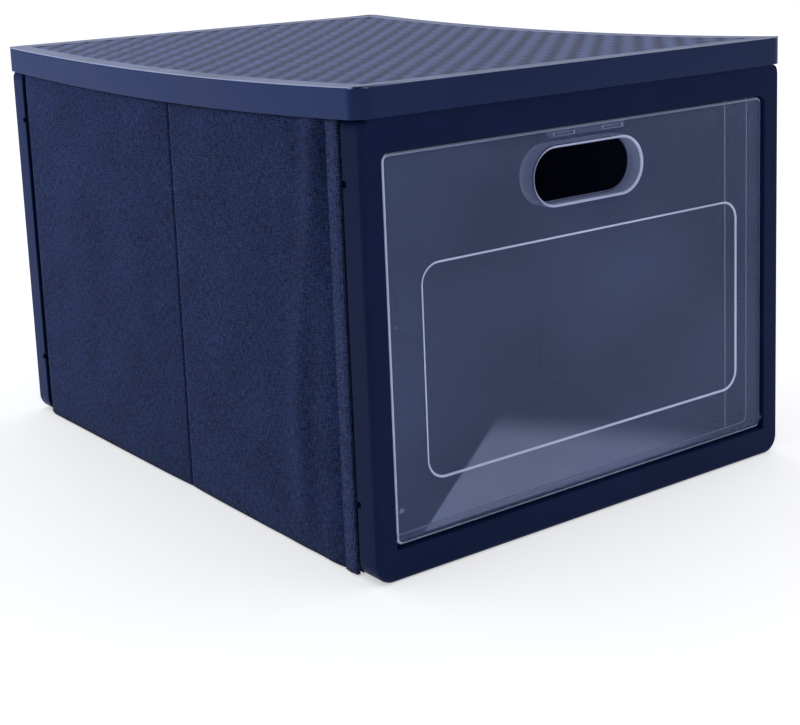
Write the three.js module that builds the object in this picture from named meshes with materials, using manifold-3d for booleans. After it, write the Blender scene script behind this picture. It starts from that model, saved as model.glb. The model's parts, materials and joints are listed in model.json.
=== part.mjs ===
// A folding fabric storage bin: two plastic end frames joined by folding fabric
// side walls, a folding floor, a clear drop-down front door and a lift-off lid.
//
// Millimetres. +Z is up, the door faces -Y, +X is to the right of a person facing
// the door. The origin is the middle of the footprint, on the surface it stands on.
//
// The bin packs flat from front to back. Each side wall is two stiff halves that
// swing inward about upright fabric hinges, and each has a short fixed stile at one
// end. The left wall's stile is at the rear and the right wall's at the front, so
// the right side is the left side turned half a turn about Z, and the two folded
// walls lie one behind the other without crossing.

import * as THREE from "three";
import { mergeVertices } from "three/addons/utils/BufferGeometryUtils.js";
import Module from "manifold-3d";

const wasm = await Module();
wasm.setup();

// ---- Overall size ----
const LID_WIDTH = 300;
const LID_DEPTH = 400;
const BIN_HEIGHT = 248;
const LID_OVERHANG = 2;

// ---- Fits ----
const TOUCH_GAP = 0.3; // between pieces that rest on each other
const SLIDE_GAP = 0.5; // between pieces that lift or swing past each other

// ---- Lid ----
const LID_CORNER = 9;
const LID_SKIRT = 15.5; // height of the skirt at the two ends
const LID_SKIRT_WALL = 1.5;
const LID_PLATE = 1.8;
const LID_SAG = 4.2; // the top dips between the two frames
const LID_SKIRT_SAG = 5; // the skirt's lower edge dips a little more
const LID_RIM = 13; // smooth border around the textured field
const LID_FIELD_RECESS = 0.8;
const LID_REST_PAD = 4;
const LID_REST_PAD_REACH = 12;
const LID_REST_PADS = 5;
const LID_CURVE_STEPS = 20;

// ---- End frames ----
const FRAME_DEPTH = 15.5;
const FRAME_RAIL = 12.3; // width of the side rails seen from the front
const FRAME_SILL = 16.4; // height of the bottom rail
const FRAME_TOP_RAIL = 25.1;
const SILL_CORNER = 1;
const FRAME_FACE = 2.5;
const FRAME_FLANGE = 1.8;
const FRAME_FOOT_CORNER = 10;
const FRAME_EDGE_ROUND = 2.5;
const FRAME_NECK_INSET = 3.5; // the part under the lid is narrower
const SHOULDER_HEIGHT = 6;
const SHOULDER_CLEARANCE = 0.5;
const FRONT_REVEAL = 11; // depth of the wall around the door opening
const REAR_REVEAL = 5.5;
const FRAME_RIB = 1.6;
const FRAME_RIBS = 6;
const RIB_DEPTH = 8;
const NOTCH = 3; // small square notches in the flange's free edge
const NOTCH_LOW = 38;
const NOTCH_DROP = 16.5; // the upper notches, below the opening's top

// ---- Side walls ----
const FABRIC_INSET = 2.2; // the cloth's outer face, in from the frame's side
const CLOTH = 0.5;
const WALL_BOARD = 1.4;
const WALL_STAGGER = 20; // how much longer the stile's end of a wall is than its bound end
const WALL_DROP = 4.6; // the walls' upper edges, below the tops of the frames
const WALL_BOTTOM = 0.8;
const BOARD_HEM = 4; // the boards stop short of the cloth's edges
const BINDING_WIDTH = 10.7;
const STILE_BOTTOM = 14; // a stile's board fits between the frame's rounded corners
const STILE_DROP = 8;
const STRIP_THICKNESS = 2.5; // the strips clamp the cloth inside the frames' rails
const STRIP_BOTTOM = 34;
const STRIP_DROP = 8;

// ---- Floor ----
const FLOOR_UNDERSIDE = 2.2;
const FLOOR_BOARD = 1.6;
const FLOOR_SIDE_GAP = 2.8; // clears the round corners at the feet of the frames
const FLOOR_FRONT_GAP = 1.5;
const FLOOR_STAND_GAP = 1.1; // behind the floor when it stands in the rear frame

// ---- Rear panel ----
const REAR_PANEL_RECESS = 0.7;

// ---- Door ----
const DOOR_GAP = 1;
const DOOR_SILL_GAP = 1.4;
const DOOR_RECESS = 2.2;
const DOOR_PLATE = 1.6;
const DOOR_DEPTH = 10.7;
const DOOR_SKIRT = 1.6;
const DOOR_CORNER = 4;
const DOOR_FOOT_CORNER = 0.6;
const WINDOW_WIDTH = 225;
const WINDOW_UP = 29.5; // above the door's lower edge
const WINDOW_DROP = 57.8; // below the door's upper edge
const WINDOW_CORNER = 10;
const WINDOW_RECESS = 0.5;
const HAND_SLOT_WIDTH = 76;
const HAND_SLOT_HEIGHT = 29.5;
const HAND_SLOT_DROP = 25.3; // slot centre, below the door's top edge
const HAND_SLOT_RIM = 1.6;
const LATCH_SLOT_WIDTH = 14;
const LATCH_SLOT_HEIGHT = 2;
const LATCH_TONGUE = 20.5;
const LATCH_DROP = 4.5;
const HINGE_UP = 5; // door hinge axis, above the door's lower edge
const HINGE_IN = 3.6; // door hinge axis, behind the frame's front face
const HINGE_PIN = 2;
const HINGE_PIN_REACH = 3.2;
const HINGE_PIN_PLAY = 0.4;
const HINGE_BOSS = 6.3; // half the height of the boss round each hinge socket

// ---- Fineness of the round shapes ----
const LEAST_CORNER = 1; // a corner drawn in from a small one keeps this radius
const ARC_STEPS = 8; // for each quarter of a corner
const EDGE_STEPS = 4; // across a rounded edge
const BAR_SIDES = 24;
const CUT_PAST = 1; // how far a cut runs on past the face it goes through
const MERGE_WITHIN = 1e-4; // points nearer than this are one point

// ---- Worked out from the above ----
const halfWidth = LID_WIDTH / 2 - LID_OVERHANG;
const halfDepth = LID_DEPTH / 2 - LID_OVERHANG;
const frontFace = -halfDepth;
const openingHalf = halfWidth - FRAME_RAIL;
const skirtEnd = BIN_HEIGHT - LID_SKIRT;
const platesDrop = LID_FIELD_RECESS + LID_PLATE;
const frameTop = BIN_HEIGHT - LID_SAG - platesDrop - 2 * TOUCH_GAP;
const shoulderTop = skirtEnd - SHOULDER_CLEARANCE;
const doorOpeningTop = frameTop - FRAME_TOP_RAIL;
const wallTop = frameTop - WALL_DROP;
const stileTop = shoulderTop - SHOULDER_HEIGHT - STILE_DROP;
const stripTop = stileTop - STRIP_DROP;
const wallOuter = halfWidth - FABRIC_INSET;
const skinStep = CLOTH + TOUCH_GAP;
const wallInner = wallOuter - 2 * skinStep - WALL_BOARD;
const wallThickness = wallOuter - wallInner;
const hingeSetback = FRAME_DEPTH + wallThickness + SLIDE_GAP;
const leftCrease = -WALL_STAGGER / 2;
const leftFrontHinge = frontFace + hingeSetback;
const leftRearHinge = halfDepth - hingeSetback - WALL_STAGGER;
const stripOuter = wallInner - TOUCH_GAP;
const stripInner = openingHalf + FRAME_FLANGE + SLIDE_GAP;
const doorHalf = openingHalf - DOOR_GAP;
const doorBottom = FRAME_SILL + DOOR_SILL_GAP;
const doorTop = doorOpeningTop - DOOR_GAP;
const doorFront = frontFace + DOOR_RECESS;
const floorThickness = 2 * skinStep + FLOOR_BOARD;
const floorRear = halfDepth - REAR_REVEAL - FLOOR_STAND_GAP - floorThickness;
const floorFront = frontFace + FRAME_DEPTH + FLOOR_FRONT_GAP;
const floorMiddle = (floorRear + floorFront) / 2;

// ---- Materials ----
const navyPlastic = finish("#101c3c", 0.42);
const clearPlastic = finish("#46506f", 0.12);
const navyCloth = finish("#26304f", 0.95);
const bindingCloth = finish("#1d2747", 0.9);
const liningCloth = finish("#20294a", 0.95);
const greyBoard = finish("#3a3c42", 0.8);

/** A finish with no metal in it. */
function finish(color, roughness) {
  return new THREE.MeshStandardMaterial({ color, roughness, metalness: 0 });
}

// ---- Solids ----

/** A closed geometry as a solid that can be cut and joined. */
function solid(geometry) {
  const bare = geometry.clone();
  bare.deleteAttribute("normal");
  bare.deleteAttribute("uv");
  const merged = mergeVertices(bare, MERGE_WITHIN);
  return new wasm.Manifold(
    new wasm.Mesh({
      numProp: 3,
      vertProperties: new Float32Array(merged.attributes.position.array),
      triVerts: new Uint32Array(merged.index.array),
    }),
  );
}

/** A solid as a geometry for a mesh. */
function geometryOf(body) {
  const { vertProperties, triVerts } = body.getMesh();
  const geometry = new THREE.BufferGeometry();
  geometry.setAttribute("position", new THREE.BufferAttribute(new Float32Array(vertProperties), 3));
  geometry.setIndex(new THREE.BufferAttribute(new Uint32Array(triVerts), 1));
  geometry.computeVertexNormals();
  return geometry;
}

/** The range between two values, lower first. */
function span(a, b) {
  return [Math.min(a, b), Math.max(a, b)];
}

/** A box from its ranges along X, Y and Z. */
function box([x0, x1], [y0, y1], [z0, z1]) {
  const geometry = new THREE.BoxGeometry(x1 - x0, y1 - y0, z1 - z0);
  return geometry.translate((x0 + x1) / 2, (y0 + y1) / 2, (z0 + z1) / 2);
}

/** An upright outline in X and Z, given depth from y0 to y1, with its first edge rounded if asked. */
function uprightSlab(outline, y0, y1, edgeRound = 0) {
  const geometry = new THREE.ExtrudeGeometry(outline, {
    depth: y1 - y0 - edgeRound,
    bevelEnabled: edgeRound > 0,
    bevelThickness: edgeRound,
    bevelSize: edgeRound,
    bevelOffset: -edgeRound,
    bevelSegments: EDGE_STEPS,
    curveSegments: ARC_STEPS,
  });
  return geometry.rotateX(Math.PI / 2).translate(0, y1, 0);
}

/** A plan outline in X and Y, given height from z0 to z1. */
function planSlab(outline, z0, z1) {
  const geometry = new THREE.ExtrudeGeometry(outline, {
    depth: z1 - z0,
    bevelEnabled: false,
    curveSegments: ARC_STEPS,
  });
  return geometry.translate(0, 0, z0);
}

/** A side outline in Y and Z, carried across from -halfSpan to +halfSpan in X. */
function sideSlab(outline, halfSpan) {
  const geometry = new THREE.ExtrudeGeometry(outline, { depth: 2 * halfSpan, bevelEnabled: false });
  const turn = new THREE.Matrix4().makeBasis(
    new THREE.Vector3(0, 1, 0),
    new THREE.Vector3(0, 0, 1),
    new THREE.Vector3(1, 0, 0),
  );
  return geometry.applyMatrix4(turn).translate(-halfSpan, 0, 0);
}

/** A rectangle with its own radius at the lower and the upper corners. */
function roundedRect([x0, x1], [y0, y1], lowRadius, highRadius = lowRadius) {
  const shape = new THREE.Shape();
  shape.moveTo(x0 + lowRadius, y0);
  shape.lineTo(x1 - lowRadius, y0);
  if (lowRadius > 0) shape.absarc(x1 - lowRadius, y0 + lowRadius, lowRadius, -Math.PI / 2, 0, false);
  shape.lineTo(x1, y1 - highRadius);
  if (highRadius > 0) shape.absarc(x1 - highRadius, y1 - highRadius, highRadius, 0, Math.PI / 2, false);
  shape.lineTo(x0 + highRadius, y1);
  if (highRadius > 0) shape.absarc(x0 + highRadius, y1 - highRadius, highRadius, Math.PI / 2, Math.PI, false);
  shape.lineTo(x0, y0 + lowRadius);
  if (lowRadius > 0) shape.absarc(x0 + lowRadius, y0 + lowRadius, lowRadius, Math.PI, 1.5 * Math.PI, false);
  return shape;
}

/** A named mesh. */
function piece(name, geometry, material) {
  const mesh = new THREE.Mesh(geometry, material);
  mesh.name = name;
  return mesh;
}

// ---- Lid ----

/** How far the lid dips at a depth, as a share of its greatest dip. */
function dipShare(y) {
  return 1 - (y / (LID_DEPTH / 2)) ** 2;
}

/** A side outline between two heights, each with its own dip. */
function dippedBand(low, lowDip, high, highDip) {
  const reach = LID_DEPTH / 2 + LID_OVERHANG;
  const at = (step) => -reach + (2 * reach * step) / LID_CURVE_STEPS;
  const outline = new THREE.Shape();
  outline.moveTo(at(0), low - lowDip * dipShare(at(0)));
  for (let step = 1; step <= LID_CURVE_STEPS; step += 1) {
    outline.lineTo(at(step), low - lowDip * dipShare(at(step)));
  }
  for (let step = LID_CURVE_STEPS; step >= 0; step -= 1) {
    outline.lineTo(at(step), high - highDip * dipShare(at(step)));
  }
  return outline;
}

/** The lid's plan, in from its outer edge. */
function lidPlan(inset) {
  const x = LID_WIDTH / 2 - inset;
  const y = LID_DEPTH / 2 - inset;
  return roundedRect([-x, x], [-y, y], Math.max(LID_CORNER - inset, LEAST_CORNER));
}

/** A band of the lid's side outline, cut to its plan. */
function lidLayer(band, inset) {
  const low = skirtEnd - 2 * LID_SKIRT;
  const high = BIN_HEIGHT + 2 * LID_SKIRT;
  return solid(sideSlab(band, LID_WIDTH)).intersect(solid(planSlab(lidPlan(inset), low, high)));
}

function makeLid() {
  const underside = BIN_HEIGHT - platesDrop;
  const fieldFloor = BIN_HEIGHT - LID_FIELD_RECESS;
  const outside = dippedBand(skirtEnd, LID_SKIRT_SAG, BIN_HEIGHT, LID_SAG);
  const hollow = dippedBand(skirtEnd - LID_SKIRT, 0, underside, LID_SAG);
  const field = dippedBand(fieldFloor, LID_SAG, BIN_HEIGHT + LID_SKIRT, 0);
  let lid = lidLayer(outside, 0)
    .subtract(lidLayer(hollow, LID_SKIRT_WALL))
    .subtract(lidLayer(field, LID_RIM));

  // pads under both ends carry the lid on the tops of the frames
  const padLow = frameTop + TOUCH_GAP;
  const padHigh = underside + LID_PLATE / 2;
  const padFar = halfDepth - LID_SKIRT_WALL;
  const spread = (2 * openingHalf) / LID_REST_PADS;
  for (let n = 0; n < LID_REST_PADS; n += 1) {
    const x = spread * (n + 0.5) - openingHalf;
    for (const end of [-1, 1]) {
      const xs = [x - LID_REST_PAD / 2, x + LID_REST_PAD / 2];
      const ys = span(end * padFar, end * (padFar - LID_REST_PAD_REACH));
      lid = lid.add(solid(box(xs, ys, [padLow, padHigh])));
    }
  }
  return piece("lid", geometryOf(lid), navyPlastic);
}

// ---- End frames ----

/** A frame's outline from the front, in from its outer edge. */
function frameOutline(inset) {
  const side = halfWidth - inset;
  const neck = halfWidth - FRAME_NECK_INSET - inset;
  const low = inset;
  const top = frameTop - inset;
  const foot = Math.max(FRAME_FOOT_CORNER - inset, LEAST_CORNER);
  const shoulder = shoulderTop - SHOULDER_HEIGHT;
  const shape = new THREE.Shape();
  shape.moveTo(-side + foot, low);
  shape.lineTo(side - foot, low);
  shape.absarc(side - foot, low + foot, foot, -Math.PI / 2, 0, false);
  shape.lineTo(side, shoulder);
  shape.quadraticCurveTo(side, shoulderTop, neck, shoulderTop);
  shape.lineTo(neck, top);
  shape.lineTo(-neck, top);
  shape.lineTo(-neck, shoulderTop);
  shape.quadraticCurveTo(-side, shoulderTop, -side, shoulder);
  shape.lineTo(-side, low + foot);
  shape.absarc(-side + foot, low + foot, foot, Math.PI, 1.5 * Math.PI, false);
  return shape;
}

/** The opening in a frame, grown outward. */
function openingOutline(grow) {
  const x = openingHalf + grow;
  const heights = [FRAME_SILL - grow, doorOpeningTop + grow];
  const lowRadius = Math.max(SILL_CORNER + grow, SILL_CORNER / 2);
  return roundedRect([-x, x], heights, lowRadius, DOOR_CORNER + DOOR_GAP + grow);
}

/** A moulded frame at the front of the bin, open towards the middle of the bin. */
function frameBody(reveal) {
  const inner = frontFace + FRAME_DEPTH;
  const past = inner + FRAME_DEPTH;
  const doubled = solid(uprightSlab(frameOutline(0), frontFace, past, FRAME_EDGE_ROUND));
  const trim = solid(box([-LID_WIDTH, LID_WIDTH], [inner, past + FRAME_DEPTH], [-CUT_PAST, BIN_HEIGHT]));
  const revealBlock = solid(
    uprightSlab(openingOutline(FRAME_FLANGE), frontFace, frontFace + reveal),
  );
  const pocket = solid(
    uprightSlab(frameOutline(FRAME_FLANGE), frontFace + FRAME_FACE, past),
  ).subtract(revealBlock);
  const opening = solid(uprightSlab(openingOutline(0), frontFace - CUT_PAST, past));
  let body = doubled.subtract(trim).subtract(pocket);

  // ribs stiffen the top and bottom rails
  const ribYs = [frontFace + FRAME_FACE / 2, frontFace + Math.min(RIB_DEPTH, reveal)];
  const ribSpread = (2 * openingHalf) / FRAME_RIBS;
  for (let n = 0; n < FRAME_RIBS; n += 1) {
    const x = ribSpread * (n + 0.5) - openingHalf;
    const xs = [x - FRAME_RIB / 2, x + FRAME_RIB / 2];
    body = body
      .add(solid(box(xs, ribYs, [FRAME_FLANGE / 2, FRAME_SILL])))
      .add(solid(box(xs, ribYs, [doorOpeningTop, frameTop - FRAME_FLANGE / 2])));
  }
  body = body.subtract(opening);

  for (const side of [-1, 1]) {
    for (const low of [NOTCH_LOW, doorOpeningTop - NOTCH_DROP]) {
      const xs = span(side * (halfWidth + CUT_PAST), side * (halfWidth - FRAME_FLANGE - CUT_PAST));
      const ys = [inner - NOTCH, inner + CUT_PAST];
      body = body.subtract(solid(box(xs, ys, [low, low + NOTCH])));
    }
  }
  return body;
}

/** A round bar along X. */
function crossBar(radius, [x0, x1], y, z) {
  const geometry = new THREE.CylinderGeometry(radius, radius, x1 - x0, BAR_SIDES);
  return geometry.rotateZ(Math.PI / 2).translate((x0 + x1) / 2, y, z);
}

function makeFrontFrame() {
  let body = frameBody(FRONT_REVEAL);
  const y = frontFace + HINGE_IN;
  const z = doorBottom + HINGE_UP;
  for (const side of [-1, 1]) {
    const bossXs = span(side * openingHalf, side * (wallInner - SLIDE_GAP));
    const bossYs = [frontFace + FRAME_FACE / 2, y + HINGE_BOSS];
    const boreEnd = doorHalf + HINGE_PIN_REACH + SLIDE_GAP;
    const boreXs = span(side * (openingHalf - CUT_PAST), side * boreEnd);
    body = body
      .add(solid(box(bossXs, bossYs, [z - HINGE_BOSS, z + HINGE_BOSS])))
      .subtract(solid(crossBar(HINGE_PIN + HINGE_PIN_PLAY, boreXs, y, z)));
  }
  return piece("front_frame", geometryOf(body), navyPlastic);
}

function makeRearFrame() {
  const mesh = piece("rear_frame", geometryOf(frameBody(REAR_REVEAL)), navyPlastic);
  mesh.rotation.z = Math.PI;
  return mesh;
}

// ---- Side walls, drawn on the left; the right side is the same turned half a turn ----

/** A layer of the left wall: how deep it lies in the wall, its thickness, its length and its height. */
function wallLayer(depthIn, thickness, ys, zs) {
  const outer = -wallOuter + depthIn;
  return box([outer, outer + thickness], ys, zs);
}

/** The outer cloth, the board and the lining of one stretch of the left wall. */
function wallStretch(name, ys, boardYs, boardZs) {
  const full = [WALL_BOTTOM, wallTop];
  const liningIn = skinStep + WALL_BOARD + TOUCH_GAP;
  return [
    piece(`${name}_fabric`, wallLayer(0, CLOTH, ys, full), navyCloth),
    piece(`${name}_board`, wallLayer(skinStep, WALL_BOARD, boardYs, boardZs), greyBoard),
    piece(`${name}_lining`, wallLayer(liningIn, CLOTH, ys, full), liningCloth),
  ];
}

/** A swinging half of a wall, whose board stops short of the cloth all round. */
function swingingHalf(name, ys) {
  const boardYs = [ys[0] + BOARD_HEM / 2, ys[1] - BOARD_HEM / 2];
  return wallStretch(name, ys, boardYs, [WALL_BOTTOM + BOARD_HEM, wallTop - BOARD_HEM]);
}

/** The half of a wall that swings on the frame itself, with its bound edge. */
function boundHalf(name) {
  const ys = [leftFrontHinge + TOUCH_GAP, leftCrease - TOUCH_GAP];
  const binding = wallLayer(-skinStep, CLOTH, [ys[0], ys[0] + BINDING_WIDTH], [WALL_BOTTOM, wallTop]);
  return [...swingingHalf(name, ys), piece(`${name}_binding`, binding, bindingCloth)];
}

/** The half of a wall that swings on the fixed stile. */
function plainHalf(name) {
  return swingingHalf(name, [leftCrease + TOUCH_GAP, leftRearHinge - TOUCH_GAP]);
}

/** The fixed stile: its cloth meets the frame, and its board runs on into the frame's rail. */
function stile(name) {
  const start = leftRearHinge + wallThickness + SLIDE_GAP;
  const clothEnd = halfDepth - FRAME_DEPTH - TOUCH_GAP;
  const boardEnd = halfDepth - FRAME_FACE - TOUCH_GAP;
  return wallStretch(name, [start, clothEnd], [start, boardEnd], [STILE_BOTTOM, stileTop]);
}

/** The strip that clamps the cloth inside a frame's rail, at the left rear. */
function clampStrip(name) {
  const back = halfDepth - FRAME_FACE - TOUCH_GAP;
  const ys = [back - STRIP_THICKNESS, back];
  return piece(name, box([-stripOuter, -stripInner], ys, [STRIP_BOTTOM, stripTop]), greyBoard);
}

/** The left rear strip seen in a mirror at the front. */
function mirroredStrip(name) {
  const strip = clampStrip(name);
  strip.position.y = -2 * (halfDepth - FRAME_FACE - TOUCH_GAP) + STRIP_THICKNESS;
  return strip;
}

function makeLeftSide() {
  const side = new THREE.Group();
  side.add(...boundHalf("left_front"), ...plainHalf("left_rear"), ...stile("left_rear_stile"));
  side.add(clampStrip("left_rear_strip"), mirroredStrip("left_front_strip"));
  return side;
}

function makeRightSide() {
  const side = new THREE.Group();
  side.add(...boundHalf("right_rear"), ...plainHalf("right_front"), ...stile("right_front_stile"));
  side.add(clampStrip("right_front_strip"), mirroredStrip("right_rear_strip"));
  side.rotation.z = Math.PI;
  return side;
}

// ---- Floor: two boards in cloth pockets, hinged to each other and at the rear ----

/** A cloth pocket, open at one end, and the board inside it. */
function floorHalf(name, ys, openEnd) {
  const x = wallInner - FLOOR_SIDE_GAP;
  const zs = [FLOOR_UNDERSIDE, FLOOR_UNDERSIDE + floorThickness];
  const insideYs = [
    ys[0] + (openEnd < 0 ? -CUT_PAST : skinStep),
    ys[1] + (openEnd > 0 ? CUT_PAST : -skinStep),
  ];
  const insideX = x - CLOTH;
  const insideZs = [zs[0] + CLOTH, zs[1] - CLOTH];
  const pocket = solid(box([-x, x], ys, zs)).subtract(
    solid(box([-insideX, insideX], insideYs, insideZs)),
  );
  const boardX = insideX - TOUCH_GAP;
  const boardYs = [ys[0] + skinStep + TOUCH_GAP, ys[1] - skinStep - TOUCH_GAP];
  const boardZs = [insideZs[0] + TOUCH_GAP, insideZs[1] - TOUCH_GAP];
  return [
    piece(`${name}_cover`, geometryOf(pocket), liningCloth),
    piece(`${name}_board`, box([-boardX, boardX], boardYs, boardZs), greyBoard),
  ];
}

function makeFloor() {
  const floor = new THREE.Group();
  floor.add(...floorHalf("floor_front", [floorFront, floorMiddle - TOUCH_GAP], -1));
  floor.add(...floorHalf("floor_rear", [floorMiddle + TOUCH_GAP, floorRear], 1));
  return floor;
}

// ---- Rear panel: a board between two cloths, held in the rear frame's opening ----

function makeRearPanel() {
  const rear = new THREE.Group();
  const outline = openingOutline(-SLIDE_GAP);
  const boardOutline = openingOutline(-SLIDE_GAP - BOARD_HEM / 2);
  const outerFace = halfDepth - REAR_PANEL_RECESS;
  const boardFace = outerFace - skinStep;
  const liningFace = boardFace - WALL_BOARD - TOUCH_GAP;
  rear.add(
    piece("rear_fabric", uprightSlab(outline, outerFace - CLOTH, outerFace), navyCloth),
    piece("rear_board", uprightSlab(boardOutline, boardFace - WALL_BOARD, boardFace), greyBoard),
    piece("rear_lining", uprightSlab(outline, liningFace - CLOTH, liningFace), liningCloth),
  );
  return rear;
}

// ---- Door ----

/** The door's outline, in from its edge. */
function doorOutline(inset) {
  const x = doorHalf - inset;
  const heights = [doorBottom + inset, doorTop - inset];
  return roundedRect([-x, x], heights, DOOR_FOOT_CORNER, Math.max(DOOR_CORNER - inset, LEAST_CORNER));
}

/** The hand slot's outline, grown outward. */
function slotOutline(grow) {
  const x = HAND_SLOT_WIDTH / 2 + grow;
  const middle = doorTop - HAND_SLOT_DROP;
  const half = HAND_SLOT_HEIGHT / 2 + grow;
  return roundedRect([-x, x], [middle - half, middle + half], half - TOUCH_GAP);
}

function makeDoor() {
  const plateBack = doorFront + DOOR_PLATE;
  const back = doorFront + DOOR_DEPTH;
  const tray = solid(uprightSlab(doorOutline(0), doorFront, back)).subtract(
    solid(uprightSlab(doorOutline(DOOR_SKIRT), plateBack, back + CUT_PAST)),
  );
  const slotRim = solid(uprightSlab(slotOutline(HAND_SLOT_RIM), doorFront, back));
  const slot = solid(uprightSlab(slotOutline(0), doorFront - CUT_PAST, back + CUT_PAST));
  const windowXs = [-WINDOW_WIDTH / 2, WINDOW_WIDTH / 2];
  const windowZs = [doorBottom + WINDOW_UP, doorTop - WINDOW_DROP];
  const window = roundedRect(windowXs, windowZs, WINDOW_CORNER);
  const windowCut = solid(uprightSlab(window, doorFront - CUT_PAST, doorFront + WINDOW_RECESS));
  let door = tray.add(slotRim).subtract(slot).subtract(windowCut);

  for (const side of [-1, 1]) {
    const latchXs = span((side * LATCH_TONGUE) / 2, side * (LATCH_TONGUE / 2 + LATCH_SLOT_WIDTH));
    const latchZs = [doorTop - LATCH_DROP, doorTop - LATCH_DROP + LATCH_SLOT_HEIGHT];
    const pinXs = span(side * (doorHalf - DOOR_SKIRT / 2), side * (doorHalf + HINGE_PIN_REACH));
    const pin = crossBar(HINGE_PIN, pinXs, frontFace + HINGE_IN, doorBottom + HINGE_UP);
    door = door
      .subtract(solid(box(latchXs, [doorFront - CUT_PAST, plateBack + CUT_PAST], latchZs)))
      .add(solid(pin));
  }
  return piece("front_door", geometryOf(door), clearPlastic);
}

const bin = new THREE.Group();
bin.add(
  makeRearFrame(),
  makeRearPanel(),
  makeLeftSide(),
  makeRightSide(),
  makeFloor(),
  makeFrontFrame(),
  makeDoor(),
  makeLid(),
);

export default bin;
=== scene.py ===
"""The looks of a folding fabric storage bin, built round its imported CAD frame.

Metres, in the frame of the CAD model: +Z is up, the door faces -Y, and the origin is the
middle of the footprint on the floor.
"""

import functools
import json
import math

import bmesh
import bpy
from mathutils import Matrix, Vector, noise
from mathutils.geometry import tessellate_polygon


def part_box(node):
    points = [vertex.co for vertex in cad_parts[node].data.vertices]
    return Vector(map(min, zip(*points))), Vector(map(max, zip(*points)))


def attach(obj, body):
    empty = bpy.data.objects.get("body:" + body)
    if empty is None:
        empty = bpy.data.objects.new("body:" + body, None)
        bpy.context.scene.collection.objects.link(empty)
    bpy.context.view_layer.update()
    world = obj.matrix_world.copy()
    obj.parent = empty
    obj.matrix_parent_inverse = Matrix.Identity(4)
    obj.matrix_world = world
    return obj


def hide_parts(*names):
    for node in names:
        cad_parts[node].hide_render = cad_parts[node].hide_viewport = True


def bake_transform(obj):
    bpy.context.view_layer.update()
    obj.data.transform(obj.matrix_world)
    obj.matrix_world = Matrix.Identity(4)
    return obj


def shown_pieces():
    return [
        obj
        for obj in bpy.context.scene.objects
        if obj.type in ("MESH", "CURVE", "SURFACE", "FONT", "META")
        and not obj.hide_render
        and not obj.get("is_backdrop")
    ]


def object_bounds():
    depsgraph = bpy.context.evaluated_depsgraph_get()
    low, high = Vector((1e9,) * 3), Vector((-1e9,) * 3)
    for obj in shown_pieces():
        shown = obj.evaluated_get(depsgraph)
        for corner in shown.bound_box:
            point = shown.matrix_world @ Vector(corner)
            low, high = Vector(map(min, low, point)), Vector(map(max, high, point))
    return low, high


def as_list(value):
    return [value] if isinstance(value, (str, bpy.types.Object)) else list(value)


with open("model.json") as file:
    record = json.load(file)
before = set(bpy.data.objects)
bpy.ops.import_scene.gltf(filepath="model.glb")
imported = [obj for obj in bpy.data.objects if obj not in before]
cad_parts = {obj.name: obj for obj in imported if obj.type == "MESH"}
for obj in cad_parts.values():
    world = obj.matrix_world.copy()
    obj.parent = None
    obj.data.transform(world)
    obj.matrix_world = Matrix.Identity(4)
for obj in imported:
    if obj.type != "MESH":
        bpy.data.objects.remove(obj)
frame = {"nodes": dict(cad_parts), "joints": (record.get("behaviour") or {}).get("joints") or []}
cad_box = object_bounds()

MM = 0.001

# ---- Camera, solved from the photo's straight edges ----
CAMERA_PLACE = (-0.56978, -0.80088, 0.33021)
CAMERA_RIGHT = (0.79665, -0.60325, -0.03793)
CAMERA_UP = (0.14351, 0.12781, 0.98136)
CAMERA_LENS = 71.77
CAMERA_SHIFT = (-0.0123, -0.1906)
FAR_CLIP = 50

# ---- Frames and boards ----
WELD = 2e-6  # points of a CAD mesh that are nearer are one point
FLAT_EDGE = math.radians(0.1)  # edges that turn by less are dissolved
SHARP_EDGE = math.radians(25)  # edges that turn by more are rounded
FRAME_ROUNDING = 0.45 * MM
BOARD_SOFTENING = 0.25 * MM

# ---- Door ----
DOOR_HALF_WIDTH = 134.7 * MM
DOOR_CORNER = 4 * MM
DOOR_PLATE = 1.6 * MM
DOOR_SKIRT = 1.6 * MM
DOOR_BEVEL = 1.3 * MM
DOOR_BEVEL_DEPTH = 0.8 * DOOR_BEVEL
DOOR_SOFTENING = 0.35 * MM
WINDOW_SIZE = (225 * MM, 109.4 * MM)
WINDOW_CORNER = 10 * MM
WINDOW_MIDDLE = 102 * MM
WINDOW_BEVEL = 1.2 * MM
WINDOW_RECESS = 0.5 * MM
SLOT_SIZE = (76 * MM, 29.5 * MM)
SLOT_CORNER = SLOT_SIZE[1] / 2 - 0.3 * MM
SLOT_MIDDLE = 189.2 * MM
SLOT_RIM = 1.6 * MM
LATCH_SLOT = (14 * MM, 2 * MM)
LATCH_CORNER = 0.5 * MM
LATCH_MIDDLE = 211 * MM
LATCH_TONGUE = 20.5 * MM
LATCH_BAR = (54 * MM, 4.2 * MM)
LATCH_BAR_CORNER = 1.2 * MM
LATCH_BAR_DROP = 3.2 * MM  # from the door's top to the bar's middle
LATCH_BAR_DEPTHS = (0.2 * MM, 1.8 * MM)  # behind the plate
LATCH_BAR_SOFTENING = 0.4 * MM
PIN_RADIUS = 2 * MM
PIN_SIDES = 24

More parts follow.
